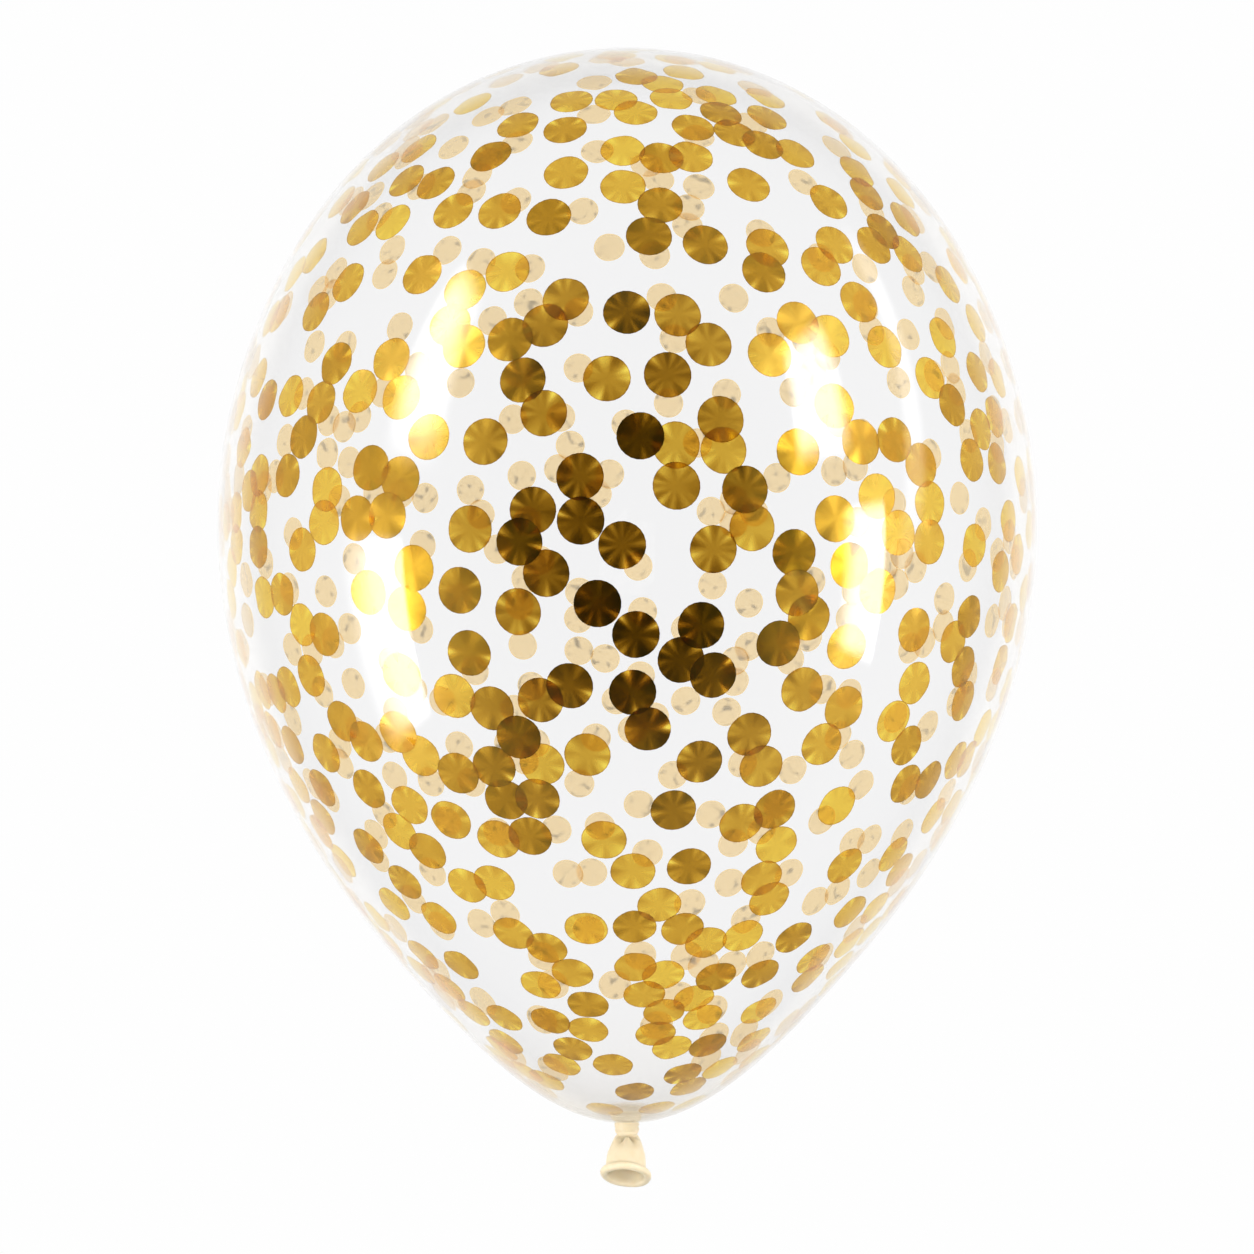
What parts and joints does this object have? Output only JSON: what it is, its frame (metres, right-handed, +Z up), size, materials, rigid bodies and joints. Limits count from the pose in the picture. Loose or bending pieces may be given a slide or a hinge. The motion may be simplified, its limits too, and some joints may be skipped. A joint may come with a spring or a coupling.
{
  "type": "confetti balloon",
  "caption": "Pear-shaped clear latex party balloon, tied in a knot with a flared tail, filled with round gold foil confetti, lying on its side.",
  "frame": {"origin": "middle of the flat spot on the underside, below the widest ring of the balloon", "axes": "+Y along the balloon's level axis, from the knot to the crown; +Z up; the tail leans up towards +Z"},
  "size_m": [0.296, 0.4134, 0.2945],
  "materials": {
    "clear_latex": "clear glossy film, cream at the knot and tail",
    "gold_foil": "thin mirror foil, gold outside and pale inside"
  },
  "bodies": {
    "root": {"latex_balloon": "clear_latex"}
  },
  "joints": []
}
